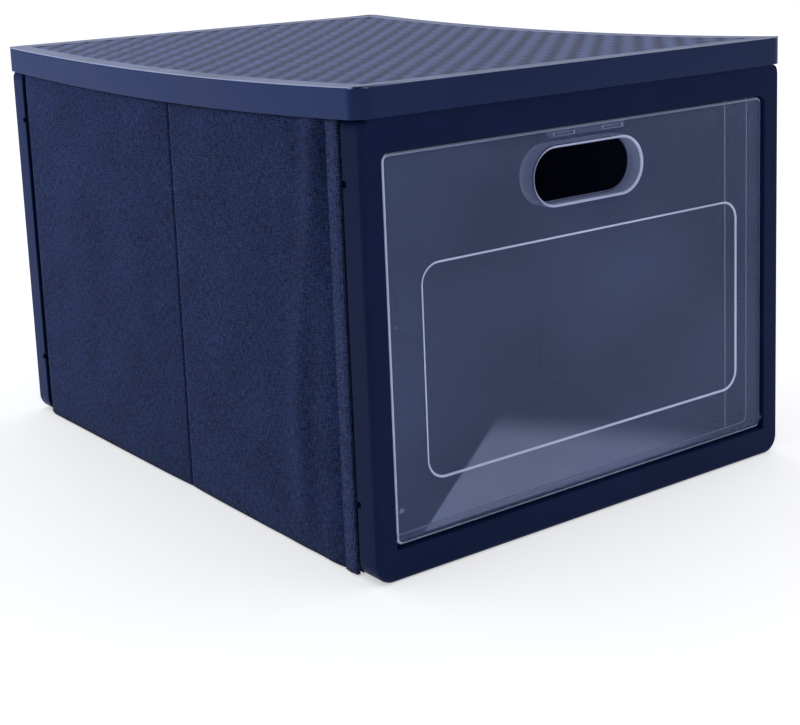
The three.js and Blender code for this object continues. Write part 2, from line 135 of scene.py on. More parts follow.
# ---- Lid and its moulded weave ----
LID_SAG = 4.2 * MM
LID_RIM = 13 * MM
LID_FIELD_RECESS = 0.8 * MM
LID_ROUNDING = 1.1 * MM
LID_LOW_SHARE = 0.35  # of the rounding, on the edges below the top one
LID_TOP_REACH = 1 * MM  # how near the lid's outside its top edge lies
LID_TOP_FACES = 8 * MM  # above the lid's bottom, the faces that look up are its top
FACING_UP = 0.3
STRAND_PITCH = 11.8 * MM
STRAND_STEP = 1.5 * MM
STRAND_CROWN = 0.6 * MM
UNDER_SHARE = 0.5  # how far the strands that cross beneath are crowned
STRAND_LIFT = 0.16 * MM
STRAND_GAP = 0.1 * MM  # between the weave and the rim
STRAND_BASE = 0.1 * MM
STRAND_FADE = 1.2 * MM
STRAND_BED = 0.2 * MM
CROWN_ATTRIBUTE = "crown"
HIGHEST_CROWN = 1.5 * STRAND_CROWN

# ---- Cloth ----
CLOTH = 0.5 * MM
TO_ROOM = Vector((1, 0, 0))  # from the left wall's outside
THREAD_PITCH = 1.15 * MM
WAVE_PERIOD = math.pi / 10  # of Blender's wave texture at a scale of 1
CLOTH_STEP = 3 * MM

# ---- Unevenness: features per metre one way and the other, and a layer of the noise ----
WALL_NOISE = (22, 9, 3.1)
LINING_NOISE = (30, 14, 5.2)
BINDING_NOISE = (260, 60, 7.7)
PANEL_NOISE = (14, 14, 9.4)

# ---- Walls ----
WALL_TOP = 236 * MM
WALL_BULGE = 3.2 * MM
WALL_UNEVENNESS = 0.16
SWELL_RISES = {  # from a cloth's low and high ends to its full swell
    "bound": (17 * MM, 7 * MM),
    "joined": (10 * MM, 7 * MM),
    "right_front": (10 * MM, 5 * MM),
    "right_front_stile": (3 * MM, 5 * MM),
}
FOOT_SHARE = 0.45  # of the bulge that is left at the wall's foot
FOOT_RISE = 14 * MM
HEAD_SHARE = 0.3
HEAD_RISE = 12 * MM
CREASE_SLOPE = 0.055
CREASE_ROOM = 0.01 * MM
LINING_UNEVENNESS = 0.2 * MM
PIVOT_LAP = 4 * MM  # how far the right stile's cloth laps over the open pivot
LAP_RISE = 0.9 * MM
LAP_SLOPE = 3 * MM
HINGE_BEND = 4 * MM  # half the length of cloth that bends at the left rear hinge
HINGE_STEP = 0.8 * MM

# ---- The cloth beside its binding ----
BINDING_TUCK = 2 * MM  # how far the cloth's swell starts under the binding
RIPPLE_LENGTH = 34 * MM
RIPPLE_HEIGHT = 0.5 * MM
RIPPLE_RISE = 5 * MM
RIPPLE_WANDER = 0.12  # of a ripple's length
RIPPLE_SWAY = 16  # radians per metre of height
FOLD_TOP = 11 * MM  # from the binding to the slack fold, at the wall's top
FOLD_LEAN = 24 * MM
FOLD_DROP = 170 * MM
FOLD_HEIGHT = 1.9 * MM
FOLD_SPREAD = 9 * MM
FOLD_FOOT = 30 * MM
FOLD_RISE = 6 * MM

# ---- Binding and stitches ----
BINDING_EDGE = 1.7 * MM  # from the binding's edges to its stitches
BINDING_PUFF = 0.9 * MM
BINDING_ROUNDING = 1.1 * MM
BINDING_WOBBLE = 0.25 * MM
BINDING_STEPS = (0.6 * MM, 4 * MM)
SEAM_DIP = 0.35 * MM
SEAM_SPREAD = 0.7 * MM
STITCH_PITCH = 3.4 * MM
STITCH_SIZE = (2.3 * MM, 0.55 * MM, 0.5 * MM)
STITCH_MARGIN = 3 * MM
STITCH_SWELL = (0.35, 0.9, 1.0, 0.9, 0.35)
STITCH_SIDES = 6

# ---- Rear panel and floor ----
PANEL_CORNER = 3 * MM
PANEL_STEP = 0.025  # of half the panel's width
PANEL_RISE = 26 * MM
PANEL_SWELL = 1.1 * MM
PANEL_UNEVENNESS = 0.25 * MM
PAD_EDGE_SHARES = (0, 0.08, 0.3, 0.65, 1.0)
PAD_WELD = 0.01 * MM  # joins a pad's two halves at their edge
PAD_SEAM = 6 * MM  # from a pad's edge to its seam
PAD_SEAM_DIP = 0.3 * MM
PAD_SEAM_SPREAD = 1.2 * MM
PAD_STITCH = (3.2 * MM, 0.6 * MM, 0.5 * MM)
PAD_STITCH_PITCH = 5 * MM
PAD_STITCH_MARGIN = 2 * MM

# ---- Studio ----
WORLD_TINT = (0.8, 0.86, 1, 1)
WORLD_STRENGTH = 0.25
FLOOR_REACH = 6
FLOOR_DROP = 0.2 * MM
FLOOR_GREY = (0.75, 0.75, 0.75, 1)
FLOOR_GLOW = 0.5
OVERHEAD_TOWARDS = (0.1, 0.2, 1)
OVERHEAD_POWER = 1.9
OVERHEAD_ANGLE = math.radians(120)
KEY_PLACE = (-0.85, 1.25, 0.62)
KEY_TARGET = (-0.1, 0.0, 0.12)
KEY_SIZE = 0.4
KEY_POWER = 38
BEAM_PLACE = (-1.128, -0.973, 0.586)
BEAM_TARGET = (-0.761, -0.704, 0)
BEAM_CONE = math.radians(62)
BEAM_POWER = 1300
BEAM_COLOUR = (1, 0.92, 0.76)
BEAM_BLEND = 0.02
BEAM_RADIUS = 0.01


# ---------------------------------------------------------------- small helpers

box_of = functools.cache(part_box)


def eased(t):
    """0 to 1 as t goes from 0 to 1, flat at both ends."""
    t = min(max(t, 0.0), 1.0)
    return t * t * (3 - 2 * t)


def steps(low, high, step):
    """Evenly spaced values from low to high, about a step apart."""
    count = max(1, round((high - low) / step))
    return [low + (high - low) * n / count for n in range(count + 1)]


def joint_place(name):
    joint = next(joint for joint in frame["joints"] if joint["name"] == name)
    return Vector(joint["pos_m"])


def unevenness(a, b, kind):
    """Smooth noise from -1 to 1 over a sheet."""
    return noise.noise(Vector((a * kind[0], b * kind[1], kind[2])))


def add_object(name, data):
    obj = bpy.data.objects.new(name, data)
    bpy.context.scene.collection.objects.link(obj)
    return obj


def add_piece(name, points, faces, materials, uvs=None):
    """A mesh piece with smooth faces, and a UV for each of its points if given."""
    mesh = bpy.data.meshes.new(name)
    mesh.from_pydata([tuple(p) for p in points], [], faces)
    mesh.validate()
    for material in materials:
        mesh.materials.append(material)
    if uvs:
        layer = mesh.uv_layers.new(name="cloth")
        for loop in mesh.loops:
            layer.data[loop.index].uv = uvs[loop.vertex_index]
    mesh.shade_smooth()
    return add_object(name, mesh)


def half_turn(obj):
    """Turns a left-hand piece half a turn about Z, which makes it the right-hand one."""
    obj.data.transform(Matrix.Rotation(math.pi, 4, "Z"))


def face_outward(obj):
    shape = bmesh.new()
    shape.from_mesh(obj.data)
    bmesh.ops.recalc_face_normals(shape, faces=shape.faces)
    shape.to_mesh(obj.data)
    shape.free()
    return obj


def apply_modifiers(obj):
    graph = bpy.context.evaluated_depsgraph_get()
    mesh = bpy.data.meshes.new_from_object(obj.evaluated_get(graph))
    obj.modifiers.clear()
    obj.data = mesh


def weigh_normals(obj):
    """Shades the flat faces flat, next to the rounded edges between them."""
    normals = obj.modifiers.new("normals", "WEIGHTED_NORMAL")
    normals.keep_sharp = False


def soften_edges(obj, width):
    bevel = obj.modifiers.new("bevel", "BEVEL")
    bevel.width = width
    bevel.segments = 2


# ---------------------------------------------------------------- materials


def wire(tree, kind, inputs=None, **settings):
    """Adds a shader node; inputs are numbers, colours or the sockets to link."""
    made = tree.nodes.new(kind)
    for key, value in settings.items():
        setattr(made, key, value)
    for key, value in (inputs or {}).items():
        if isinstance(value, bpy.types.NodeSocket):
            tree.links.new(value, made.inputs[key])
        else:
            made.inputs[key].default_value = value
    return made


def start_material(name, **settings):
    """A material and its Principled shader, with constants set on the shader's sockets."""
    material = bpy.data.materials.new(name)
    material.use_nodes = True
    shader = material.node_tree.nodes["Principled BSDF"]
    for key, value in settings.items():
        shader.inputs[key.replace("_", " ")].default_value = value
    return material, material.node_tree, shader


def blended_colour(tree, factor, low, high):
    mix = wire(tree, "ShaderNodeMix", {0: factor}, data_type="RGBA")
    for index, colour in ((6, low), (7, high)):
        if isinstance(colour, bpy.types.NodeSocket):
            tree.links.new(colour, mix.inputs[index])
        else:
            mix.inputs[index].default_value = (*colour, 1)
    return mix.outputs[2]


def scaled_noise(tree, coordinates, scale, detail=2.0, rough=0.5):
    """Noise stretched by a scale for each direction, in features per metre."""
    mapping = wire(tree, "ShaderNodeMapping", {"Vector": coordinates, "Scale": scale})
    texture = wire(
        tree,
        "ShaderNodeTexNoise",
        {"Vector": mapping.outputs["Vector"], "Scale": 1.0, "Detail": detail, "Roughness": rough},
    )
    return texture.outputs["Fac"]


def ranged(tree, value, low, high, to_low=0.0, to_high=1.0):
    made = wire(
        tree,
        "ShaderNodeMapRange",
        {"Value": value, "From Min": low, "From Max": high, "To Min": to_low, "To Max": to_high},
    )
    return made.outputs["Result"]


def maths(tree, operation, a, b):
    return wire(tree, "ShaderNodeMath", {0: a, 1: b}, operation=operation).outputs[0]


def bump(tree, shader, height, strength, distance):
    made = wire(
        tree, "ShaderNodeBump", {"Height": height, "Strength": strength, "Distance": distance}
    )
    tree.links.new(made.outputs["Normal"], shader.inputs["Normal"])


def moulded_plastic(name, colour, worn, roughness, specular):
    """Moulded plastic with a fine grain, faint flow marks and slightly worn patches."""
    material, tree, shader = start_material(name, Specular_IOR_Level=specular)
    place = wire(tree, "ShaderNodeTexCoord").outputs["Object"]
    flow = scaled_noise(tree, place, (18, 18, 30), detail=3)
    grain = scaled_noise(tree, place, (1500, 1500, 1500), detail=1)
    mottled = ranged(tree, flow, 0.35, 0.7)
    tree.links.new(blended_colour(tree, mottled, colour, worn), shader.inputs["Base Color"])
    glossy = ranged(tree, flow, 0.3, 0.7, roughness - 0.04, roughness + 0.05)
    tree.links.new(glossy, shader.inputs["Roughness"])
    bump(tree, shader, grain, 0.12, 0.15 * MM)
    return material


def stranded_plastic(name, groove, crown, roughness, specular):
    """The lid's moulded strands, darker in the grooves and lighter on the crowns by their height:
    painted shade and painted highlight, with random worn patches over them.
    """
    material, tree, shader = start_material(name, Specular_IOR_Level=specular)
    height = wire(tree, "ShaderNodeAttribute", attribute_name=CROWN_ATTRIBUTE).outputs["Fac"]
    place = wire(tree, "ShaderNodeTexCoord").outputs["Object"]
    uneven = scaled_noise(tree, place, (90, 90, 90), detail=3)
    # the relief height blends the grooves' painted shade into the crowns' painted highlight, and random
    # patches are added
    crowned = ranged(tree, height, 0.15, 0.95)
    highlit_and_rubbed = maths(tree, "ADD", crowned, ranged(tree, uneven, 0.3, 0.7, -0.12, 0.12))
    tree.links.new(blended_colour(tree, highlit_and_rubbed, groove, crown), shader.inputs["Base Color"])
    tree.links.new(
        ranged(tree, uneven, 0.3, 0.7, roughness - 0.05, roughness + 0.05), shader.inputs["Roughness"]
    )
    bump(tree, shader, scaled_noise(tree, place, (1200, 1200, 1200), detail=1), 0.15, 0.15 * MM)
    return material


def clear_plastic(name, colour, alpha, roughness, painted_glow=0.0):
    """Cloudy clear plastic, a little denser in places; its emission is painted light, which makes a
    part shine though it is no lamp.
    """
    material, tree, shader = start_material(name, Specular_IOR_Level=0.35, IOR=1.49)
    place = wire(tree, "ShaderNodeTexCoord").outputs["Object"]
    cloud = scaled_noise(tree, place, (9, 9, 12), detail=2)
    haze = tuple(min(1.0, c * 1.35) for c in colour)
    tinted = blended_colour(tree, ranged(tree, cloud, 0.3, 0.7), colour, haze)
    tree.links.new(tinted, shader.inputs["Base Color"])
    # The emission is painted light.
    shader.inputs["Emission Color"].default_value = (*colour, 1)
    shader.inputs["Emission Strength"].default_value = painted_glow
    thick = ranged(tree, cloud, 0.3, 0.7, alpha - 0.02, alpha + 0.03)
    tree.links.new(thick, shader.inputs["Alpha"])
    scuffs = scaled_noise(tree, place, (40, 40, 8), detail=2)
    tree.links.new(
        ranged(tree, scuffs, 0.3, 0.7, roughness - 0.03, roughness + 0.04),
        shader.inputs["Roughness"],
    )
    return material


def woven_cloth(name, dark, light, depth=0.25 * MM, contrast=1.0):
    """Plain weave of slubby melange yarn, laid out by the piece's own UVs in metres."""
    material, tree, shader = start_material(
        name, Roughness=0.92, Specular_IOR_Level=0.04, Sheen_Weight=0.02, Sheen_Roughness=0.5
    )
    place = wire(tree, "ShaderNodeTexCoord").outputs["UV"]
    threads = []
    for direction in ("X", "Y"):
        wave = wire(
            tree,
            "ShaderNodeTexWave",
            {
                "Vector": place,
                "Scale": WAVE_PERIOD / THREAD_PITCH,
                "Distortion": 1.6,
                "Detail": 1.0,
                "Detail Scale": 0.7,
            },
            bands_direction=direction,
        )
        threads.append(wave.outputs["Fac"])
    weave = maths(tree, "MULTIPLY", *threads)
    along = scaled_noise(tree, place, (240, 1300, 1), detail=2, rough=0.7)
    across = scaled_noise(tree, place, (1300, 240, 1), detail=2, rough=0.7)
    slubs = maths(tree, "ADD", along, across)
    patches = scaled_noise(tree, place, (26, 26, 1), detail=3)
    slubbed = ranged(tree, slubs, 0.78, 1.22, 0.0, 0.62 * contrast)
    tone = maths(tree, "ADD", slubbed, maths(tree, "MULTIPLY", weave, 0.4 * contrast))
    tone = maths(tree, "ADD", tone, ranged(tree, patches, 0.3, 0.7, -0.07, 0.07))
    tree.links.new(blended_colour(tree, tone, dark, light), shader.inputs["Base Color"])
    height = maths(tree, "ADD", weave, slubs)
    bump(tree, shader, height, 0.6, depth)
    return material


def pressed_board(name, dark, light):
    """Grey pulp board with short fibres."""
    material, tree, shader = start_material(name, Roughness=0.85, Specular_IOR_Level=0.2)
    place = wire(tree, "ShaderNodeTexCoord").outputs["Object"]
    fibres = scaled_noise(tree, place, (400, 900, 900), detail=3, rough=0.7)
    tree.links.new(
        blended_colour(tree, ranged(tree, fibres, 0.35, 0.65), dark, light),
        shader.inputs["Base Color"],
    )
    bump(tree, shader, fibres, 0.3, 0.1 * MM)
    return material


navy_plastic = moulded_plastic("navy_plastic", (0.004, 0.010, 0.046), (0.006, 0.013, 0.054), 0.42, 0.04)
lid_plastic = moulded_plastic("lid_plastic", (0.007, 0.018, 0.069), (0.009, 0.0205, 0.077), 0.38, 0.1)
# The rim finish is a far lighter copy of the lid's plastic: a painted highlight on the lid's top rim
# and its bevels; its higher gloss is real.
rim_highlight_plastic = moulded_plastic("rim_highlight_plastic", (0.120, 0.150, 0.270), (0.145, 0.175, 0.310), 0.25, 0.7)
# The strands' groove colour is painted shade and their crown colour a painted highlight.
strand_plastic = stranded_plastic(
    "strand_plastic", (0.004, 0.008, 0.038), (0.090, 0.120, 0.280), 0.42, 0.1
)
door_plastic = clear_plastic("door_plastic", (0.068, 0.098, 0.225), 0.3, 0.24)
# The edge, tunnel, collar and skirt finishes are lighter, denser copies of the door's clear plastic
# with emission: painted highlight on the door's bevels and edges, in its hand slot, on its skirt and on
# the latch bar.
door_edge_highlight = clear_plastic("door_edge_highlight", (0.50, 0.55, 0.80), 0.72, 0.2, painted_glow=0.14)
door_tunnel_highlight = clear_plastic("door_tunnel_highlight", (0.16, 0.20, 0.36), 0.5, 0.2, painted_glow=0.04)
door_collar_highlight = clear_plastic("door_collar_highlight", (0.46, 0.50, 0.72), 0.55, 0.2, painted_glow=0.16)
door_skirt_highlight = clear_plastic("door_skirt_highlight", (0.16, 0.195, 0.36), 0.2, 0.24, painted_glow=0.06)
wall_cloth = woven_cloth(
    "wall_cloth", (0.0002, 0.0006, 0.004), (0.021, 0.037, 0.118), depth=0.45 * MM
)
lining_cloth = woven_cloth(
    "lining_cloth", (0.012, 0.018, 0.046), (0.038, 0.052, 0.112), depth=0.02 * MM, contrast=0.15
)
binding_cloth = woven_cloth("binding_cloth", (0.001, 0.003, 0.014), (0.036, 0.054, 0.140))
thread = woven_cloth("thread", (0.006, 0.010, 0.032), (0.020, 0.028, 0.070))
board = pressed_board("board", (0.010, 0.012, 0.020), (0.020, 0.023, 0.034))


# ---------------------------------------------------------------- moulded pieces


def rounded_outline(size, corner, middle, arc=10):
    """The X and Z of a rounded rectangle's outline, as many points at any size."""
    half_x, half_z = size[0] / 2, size[1] / 2
    outline = []
    for quarter, (side_x, side_z) in enumerate(((1, 1), (-1, 1), (-1, -1), (1, -1))):
        for n in range(arc + 1):
            turn = math.pi / 2 * (quarter + n / arc)
            outline.append(
                (
                    side_x * (half_x - corner) + corner * math.cos(turn),
                    middle + side_z * (half_z - corner) + corner * math.sin(turn),
                )
            )
    return outline


class Moulding:
    """Gathers the points and faces of one closed moulded shape, upright in X and Z."""

    def __init__(self):
        self.points, self.faces, self.finishes = [], [], []

    def loop(self, outline, y):
        """Adds an outline at a depth, and gives the numbers of its points."""
        start = len(self.points)
        self.points.extend((x, y, z) for x, z in outline)
        return list(range(start, len(self.points)))

    def band(self, near, far, finish):
        """Joins two loops of as many points."""
        count = len(near)
        for n in range(count):
            there = (n + 1) % count
            self.faces.append((near[n], near[there], far[there], far[n]))
            self.finishes.append(finish)

    def plate(self, outer, holes, finish):
        """Fills a flat loop, around the loops of its holes."""
        loops = [outer, *holes]
        corners = [n for loop in loops for n in loop]
        outlines = [[Vector(self.points[n]) for n in loop] for loop in loops]
        for triangle in tessellate_polygon(outlines):
            self.faces.append(tuple(corners[n] for n in triangle))
            self.finishes.append(finish)

    def piece(self, name, materials):
        made = add_piece(name, self.points, self.faces, materials)
        made.data.polygons.foreach_set("material_index", self.finishes)
        return face_outward(made)


def refined(node, materials, width, share=None, finish_of=None):
    """A CAD node's shape with rounded edges, standing for the node on the body of its name.

    share gives the part of the width that an edge at a place is rounded by, and
    finish_of the material that a face gets, by its middle and the way it faces.
    """
    shape = bmesh.new()
    shape.from_mesh(frame["nodes"][node].data)
    bmesh.ops.remove_doubles(shape, verts=shape.verts, dist=WELD)
    bmesh.ops.recalc_face_normals(shape, faces=shape.faces)
    bmesh.ops.dissolve_limit(
        shape, angle_limit=FLAT_EDGE, verts=shape.verts, edges=shape.edges
    )
    for face in shape.faces:
        face.material_index = 0
    weights = shape.edges.layers.float.new("bevel_weight_edge")
    for edge in shape.edges:
        if len(edge.link_faces) == 2 and edge.calc_face_angle(0) > SHARP_EDGE:
            middle = (edge.verts[0].co + edge.verts[1].co) / 2
            edge[weights] = share(middle) if share else 1
    mesh = bpy.data.meshes.new(node + "_skin")
    shape.to_mesh(mesh)
    shape.free()
    for material in materials:
        mesh.materials.append(material)
    piece = add_object(node + "_skin", mesh)
    bevel = piece.modifiers.new("bevel", "BEVEL")
    bevel.limit_method = "WEIGHT"
    bevel.width = width
    bevel.segments = 3
    bevel.use_clamp_overlap = False
    apply_modifiers(piece)
    low, high = box_of(node)
    for vertex in piece.data.vertices:
        vertex.co = [min(max(c, a), b) for c, a, b in zip(vertex.co, low, high)]
    piece.data.shade_smooth()
    if finish_of:
        for polygon in piece.data.polygons:
            polygon.material_index = finish_of(polygon.center, polygon.normal)
    weigh_normals(piece)
    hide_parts(node)
    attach(piece, node)
    return piece


def make_frames():
    for node in ("front_frame", "rear_frame"):
        piece = refined(node, [navy_plastic], FRAME_ROUNDING)


def make_door():
    """A tray of clear plastic: a plate with a skirt, an embossed window, a hand slot and latches."""
    low, high = box_of("front_door")
    front, back = low.y, high.y
    plate_back = front + DOOR_PLATE
    door_size = (2 * DOOR_HALF_WIDTH, high.z - low.z)
    door_middle = (high.z + low.z) / 2
    clear, edge, tunnel, collar, skirt = range(5)
    mould = Moulding()

    def grown(size, corner, middle, more, y):
        size = (size[0] + 2 * more, size[1] + 2 * more)
        return mould.loop(rounded_outline(size, corner + more, middle), y)

    def lip(size, corner, middle, wall, finish, far_finish, inward):
        """The wall round an outline, from its bevelled front edge to the plate's back."""
        sections = (
            (DOOR_BEVEL, front, edge),
            (0, front + DOOR_BEVEL_DEPTH, edge),
            (0, back - DOOR_SOFTENING, finish),
            (DOOR_SOFTENING, back, edge),
            (wall - DOOR_SOFTENING, back, finish),
            (wall, back - DOOR_SOFTENING, far_finish),
            (wall, plate_back, far_finish),
        )
        loops = [grown(size, corner, middle, -inward * step, y) for step, y, _ in sections]
        for near, far, (_, _, made_of) in zip(loops, loops[1:], sections[1:]):
            mould.band(near, far, made_of)
        return loops[0], loops[-1]

    outer, inner = lip(door_size, DOOR_CORNER, door_middle, DOOR_SKIRT, skirt, skirt, 1)
    slot, slot_back = lip(SLOT_SIZE, SLOT_CORNER, SLOT_MIDDLE, SLOT_RIM, tunnel, collar, -1)

    window = grown(WINDOW_SIZE, WINDOW_CORNER, WINDOW_MIDDLE, WINDOW_BEVEL, front)
    pane = grown(WINDOW_SIZE, WINDOW_CORNER, WINDOW_MIDDLE, 0, front + WINDOW_RECESS)
    mould.band(window, pane, edge)
    mould.plate(pane, [], clear)

    latches = []
    for side in (-1, 1):
        x = side * (LATCH_TONGUE + LATCH_SLOT[0]) / 2
        outline = rounded_outline(LATCH_SLOT, LATCH_CORNER, LATCH_MIDDLE)
        outline = [(x + u, z) for u, z in outline]
        latches.append((mould.loop(outline, front), mould.loop(outline, plate_back)))
        mould.band(*latches[-1], edge)
    mould.plate(outer, [window, slot, *(near for near, _ in latches)], clear)
    mould.plate(inner, [slot_back, *(far for _, far in latches)], clear)
    finishes = [door_plastic, door_edge_highlight, door_tunnel_highlight, door_collar_highlight, door_skirt_highlight]
    door = mould.piece("front_door_skin", finishes)
    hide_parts("front_door")
    for piece in (door, make_hinge_pins(high.x)):
        weigh_normals(piece)
        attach(piece, "door")
    make_latch_bar(high.z, plate_back)


def make_hinge_pins(end):
    """A round pin out of each side of the door, on the hinge's axis."""
    axis = joint_place("door_hinge")
    pins = Moulding()
    for side in (-1, 1):
        ends = []
        for x in (side * (DOOR_HALF_WIDTH - DOOR_SKIRT / 2), side * end):
            start = len(pins.points)
            for n in range(PIN_SIDES):
                turn = 2 * math.pi * n / PIN_SIDES
                y = axis.y + PIN_RADIUS * math.cos(turn)
                pins.points.append((x, y, axis.z + PIN_RADIUS * math.sin(turn)))
            ends.append(list(range(start, start + PIN_SIDES)))
        pins.band(*ends, 0)
        pins.faces.extend((tuple(ends[0]), tuple(reversed(ends[1]))))
        pins.finishes.extend((0, 0))
    return pins.piece("hinge_pins", [door_plastic])


def make_latch_bar(door_top, plate_back):
    """The bar behind the plate that joins the two latches."""
    middle = door_top - LATCH_BAR_DROP
    outline = rounded_outline(LATCH_BAR, LATCH_BAR_CORNER, middle, arc=5)
    bar = Moulding()
    near, far = (bar.loop(outline, plate_back + depth) for depth in LATCH_BAR_DEPTHS)
    bar.band(near, far, 0)
    bar.plate(near, [], 0)
    bar.plate(far, [], 0)
    # the bar takes the tunnel finish and its painted highlight
    latch = bar.piece("latch_bar", [door_tunnel_highlight])
    soften_edges(latch, LATCH_BAR_SOFTENING)
    apply_modifiers(latch)
    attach(latch, "door")


def lid_dip(y):
    """How far the lid dips at a depth, as a share of its greatest dip."""
    return 1 - (y / box_of("lid")[1].y) ** 2


def strand_relief(x, y):
    """The height of the woven strands moulded into the lid, which cross at 45 degrees."""
    along = (x + y) / math.sqrt(2) / STRAND_PITCH
    across = (x - y) / math.sqrt(2) / STRAND_PITCH
    over = math.cos(math.pi * along) * math.cos(math.pi * across)
    fall_across = 2 * (across % 1) - 1
    fall_along = 2 * (along % 1) - 1
    main = STRAND_CROWN * (1 - fall_across**2) + STRAND_LIFT * over
    under = UNDER_SHARE * STRAND_CROWN * (1 - fall_along**2) - STRAND_LIFT * over
    return max(main, under)


def make_lid():
    low, high = box_of("lid")

    def share(middle):
        outer_x = abs(middle.x) > high.x - LID_TOP_REACH
        outer_y = abs(middle.y) > high.y - LID_TOP_REACH
        top = high.z - LID_SAG * lid_dip(middle.y) - LID_TOP_REACH
        return 1.0 if (outer_x or outer_y) and middle.z > top else LID_LOW_SHARE

    # faces that look up on the lid's top take the rim finish, a painted highlight
    def finish_of(place, facing):
        return 1 if facing.z > FACING_UP and place.z > low.z + LID_TOP_FACES else 0

    body = refined("lid", [lid_plastic, rim_highlight_plastic], LID_ROUNDING, share, finish_of)
    make_strands(high)


def make_strands(high):
    """The weave moulded inside the lid's rim: a closed slab that dips with the lid."""
    half_x, half_y = high.x - LID_RIM - STRAND_GAP, high.y - LID_RIM - STRAND_GAP
    xs = steps(-half_x, half_x, STRAND_STEP)
    ys = steps(-half_y, half_y, STRAND_STEP)

    def field(y):
        return high.z - LID_FIELD_RECESS - LID_SAG * lid_dip(y)

    points, faces, heights = [], [], []
    for y in ys:
        for x in xs:
            edge = min(half_x - abs(x), half_y - abs(y))
            relief = strand_relief(x, y)
            heights.append(relief)
            points.append((x, y, field(y) + (STRAND_BASE + relief) * eased(edge / STRAND_FADE)))
    wide = len(xs)
    for row in range(len(ys) - 1):
        for n in range(wide - 1):
            at = row * wide + n
            faces.append((at, at + 1, at + 1 + wide, at + wide))
    base = len(points)
    for y in ys:
        under = field(y) - STRAND_BED
        points.extend(((-half_x, y, under), (half_x, y, under)))
        heights.extend((0, 0))
    for row in range(len(ys) - 1):
        left, right = base + 2 * row, base + 2 * row + 1
        faces.append((left, left + 2, right + 2, right))
        faces.append((row * wide, (row + 1) * wide, left + 2, left))
        faces.append((row * wide + wide - 1, right, right + 2, (row + 2) * wide - 1))
    last = (len(ys) - 1) * wide
    faces.append((base, base + 1, *reversed(range(wide))))
    faces.append((base + 2 * len(ys) - 1, base + 2 * len(ys) - 2, *range(last, last + wide)))
    strands = add_piece("lid_strands", points, faces, [strand_plastic])
    # each point's relief height, which the strand finish paints as shade in the grooves and highlight
    # on the crowns
    crowns = strands.data.attributes.new(CROWN_ATTRIBUTE, "FLOAT", "POINT")
    crowns.data.foreach_set("value", [min(h / HIGHEST_CROWN, 1) for h in heights])
    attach(strands, "lid")


# ---------------------------------------------------------------- cloth pieces


def cloth_slab(name, rows, columns, place, inward, material):
    """A closed sheet: place gives the outer face at each row and column, which are its UVs."""
    points, uvs, faces = [], [], []
    for depth in (0, CLOTH):
        for a in rows:
            for b in columns:
                points.append(place(a, b) + inward * depth)
                uvs.append((a, b))
    wide, tall = len(columns), len(rows)
    far = wide * tall
    for row in range(tall - 1):
        for n in range(wide - 1):
            at = row * wide + n
            faces.append((at, at + 1, at + 1 + wide, at + wide))
            faces.append((far + at, far + at + wide, far + at + 1 + wide, far + at + 1))
    rim = list(range(wide))
    rim += [row * wide + wide - 1 for row in range(1, tall)]
    rim += [(tall - 1) * wide + n for n in range(wide - 2, -1, -1)]
    rim += [row * wide for row in range(tall - 2, 0, -1)]
    for here, there in zip(rim, rim[1:] + rim[:1]):
        faces.append((here, far + here, far + there, there))
    return face_outward(add_piece(name, points, faces, [material], uvs))


def wall_swell(y, z, low, high, rises, crease=None):
    """How far a half of the wall stands out: full in the middle, held at its two ends.

    Towards the crease it stays thin enough for the two halves to fold face to face.
    """
    swell = eased((y - low) / rises[0]) * eased((high - y) / rises[1])
    swell *= FOOT_SHARE + (1 - FOOT_SHARE) * eased(z / FOOT_RISE)
    swell *= HEAD_SHARE + (1 - HEAD_SHARE) * eased((WALL_TOP - z) / HEAD_RISE)
    out = WALL_BULGE * swell * (1 + WALL_UNEVENNESS * unevenness(y, z, WALL_NOISE))
    if crease is None:
        return out
    room = CREASE_SLOPE * abs(y - crease) + CREASE_ROOM
    return out * room / (out + room)


def binding_ripple(beyond, z):
    """What a place beyond the binding adds to the swell.

    Soft upright ripples, and a slack fold that leans away from the binding towards the foot.
    """
    away = beyond / RIPPLE_LENGTH
    wave = math.sin(2 * math.pi * (away + RIPPLE_WANDER * math.sin(RIPPLE_SWAY * z)))
    upright = RIPPLE_HEIGHT * wave * math.exp(-away) * eased(beyond / RIPPLE_RISE)
    ridge = beyond - FOLD_TOP - FOLD_LEAN * eased((WALL_TOP - z) / FOLD_DROP)
    fold = FOLD_HEIGHT * math.exp(-((ridge / FOLD_SPREAD) ** 2)) * eased(z / FOLD_FOOT)
    return upright + fold * eased(beyond / FOLD_RISE)


def declare_cloth(piece, slot, width, length, rests_on, with_pieces=()):
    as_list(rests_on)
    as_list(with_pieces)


def bound_wall(side, body, turned):
    """The bound half of a wall: cloth, binding with its stitches, and lining, drawn on the left."""
    source = "left_front"
    low, high = box_of(f"{source}_fabric")
    binding_low, binding_high = box_of(f"{source}_binding")
    start = binding_high.y - BINDING_TUCK
    rows = steps(low.y, high.y, CLOTH_STEP / 1.5)
    columns = steps(low.z, high.z, CLOTH_STEP * 1.6)

    def outside(y, z):
        out = wall_swell(y, z, start, high.y, SWELL_RISES["bound"], crease=high.y)
        if y > start:
            out += binding_ripple(y - start, z)
        return Vector((low.x - max(out, 0), y, z))

    cloth = cloth_slab(f"{side}_cloth", rows, columns, outside, TO_ROOM, wall_cloth)
    lining = flat_lining(f"{side}_inner", f"{source}_lining")
    binding, stitches = make_binding(side, binding_low, binding_high)
    for piece in (cloth, lining, binding, stitches):
        if turned:
            half_turn(piece)
        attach(piece, body)
    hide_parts(f"{side}_fabric")
    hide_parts(f"{side}_lining")
    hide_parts(f"{side}_binding")
    size = (high.y - low.y, high.z - low.z)
    boards = [f"{side}_board"]
    declare_cloth(cloth, "navy_fabric", *size, boards)
    declare_cloth(lining, "lining_fabric", *size, boards)
    width = binding_high.y - binding_low.y
    declare_cloth(binding, "binding_fabric", width, size[1], [cloth.name], [stitches])


